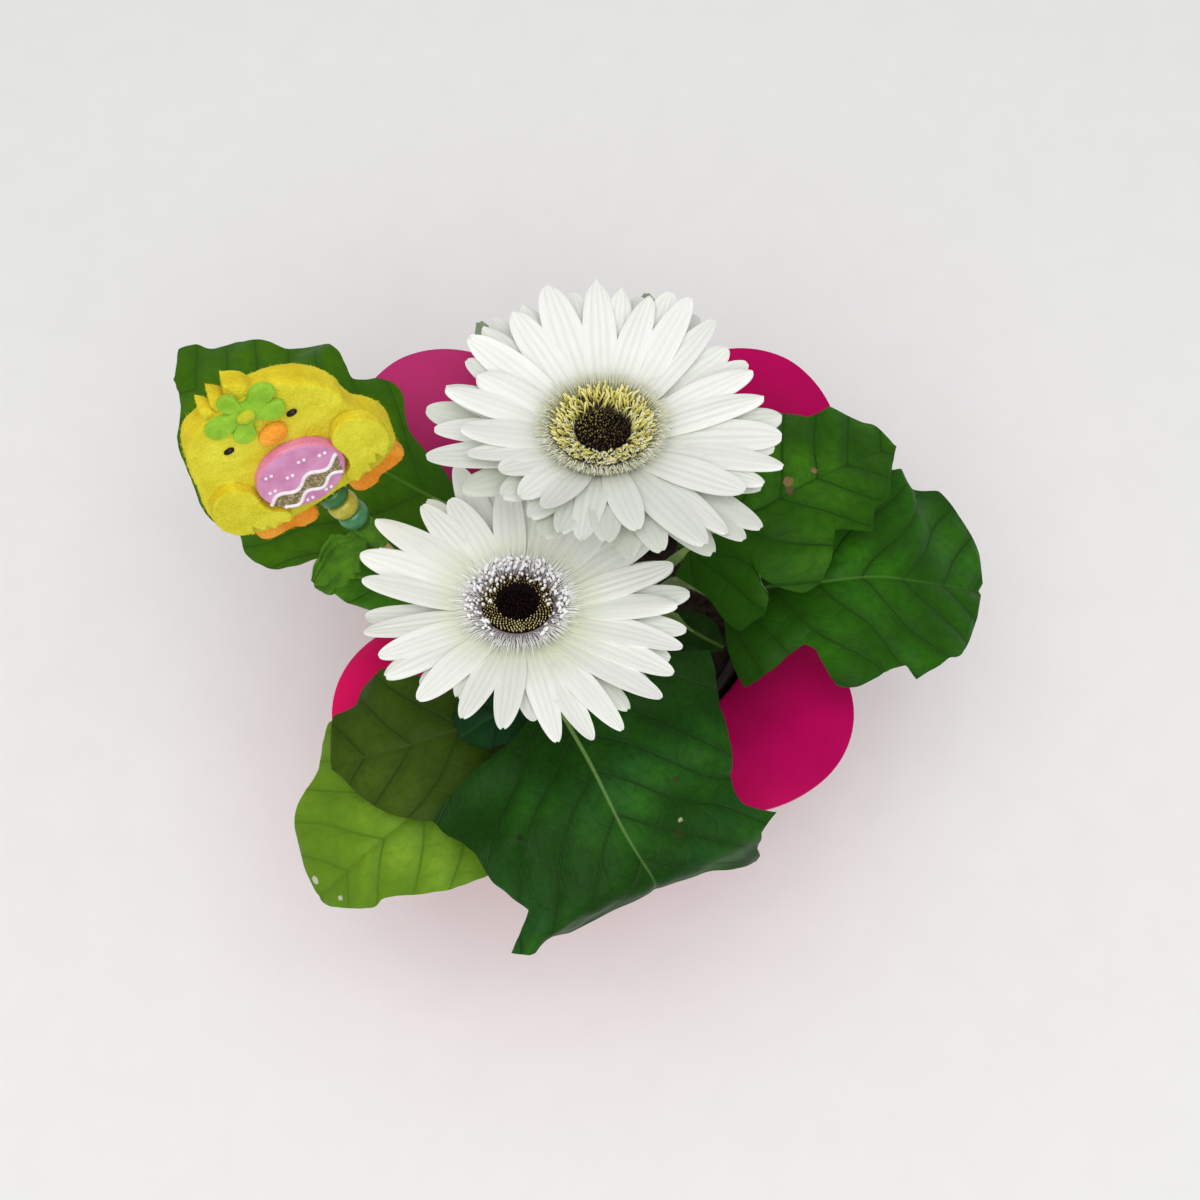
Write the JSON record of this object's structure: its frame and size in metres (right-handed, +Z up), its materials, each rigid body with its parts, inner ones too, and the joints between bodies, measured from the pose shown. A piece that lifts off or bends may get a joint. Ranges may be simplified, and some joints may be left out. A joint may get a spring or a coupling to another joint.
{
  "type": "potted gerbera",
  "caption": "White gerbera in bloom with lobed leaves, in a magenta pot cover with a flared clover-shaped collar and a yellow foam chick on a stick.",
  "frame": {"origin": "centre of the pot cover's flat base, on the ground", "axes": "+Z up, -Y towards the viewer of the picture, +X to the viewer's right"},
  "size_m": [0.2608, 0.2347, 0.2495],
  "materials": {
    "cover": "satin",
    "growing_pot": "matte",
    "soil": "rough crumbs of peat",
    "leaf": "slightly glossy",
    "leaf_pale": "slightly glossy",
    "leaf_olive": "matte",
    "stalk": "downy",
    "petal": "silky",
    "upper_fringe": "fuzzy",
    "upper_florets": "matte",
    "upper_eye": "matte",
    "lower_fringe": "fuzzy",
    "lower_florets": "matte",
    "lower_eye": "matte",
    "stick": "bare",
    "bead_dark": "painted",
    "bead_yellow": "painted",
    "bead_light": "painted",
    "felt_green": "felt",
    "foam_yellow": "flocked foam",
    "foam_orange": "felt",
    "egg": "painted, with white dots and a wavy glitter band",
    "eye": "glossy",
    "flower_green": "felt",
    "flower_centre": "felt"
  },
  "bodies": {
    "root": {"pot_cover": "cover", "nursery_pot": "growing_pot", "soil": "soil", "leaf_front": "leaf", "leaf_left": "leaf", "leaf_right_upper": "leaf", "leaf_right_lower": "leaf", "leaf_lower_left": "leaf_pale", "leaf_olive": "leaf_olive", "leaf_small_front": "leaf", "leaf_young_left": "leaf", "leaf_small_right": "leaf", "leaf_back_left": "leaf", "leaf_back_right": "leaf", "scape_upper": "stalk", "scape_lower": "stalk", "upper_ray_petals": "petal", "upper_outer_florets": "upper_fringe", "upper_disc_florets": "upper_florets", "upper_disc_eye": "upper_eye", "lower_ray_petals": "petal", "lower_outer_florets": "lower_fringe", "lower_disc_florets": "lower_florets", "lower_disc_eye": "lower_eye", "pick_stake": "stick", "bead_top": "bead_dark", "bead_middle": "bead_yellow", "bead_bottom": "bead_light", "felt_leaf": "felt_green", "chick_body": "foam_yellow", "chick_wing_left": "foam_yellow", "chick_wing_right": "foam_yellow", "chick_foot_left": "foam_orange", "chick_foot_right": "foam_orange", "chick_beak": "foam_orange", "chick_eye_left": "eye", "chick_eye_right": "eye", "chick_flower": "flower_green", "chick_flower_centre": "flower_centre", "chick_egg": "egg"}
  },
  "joints": []
}
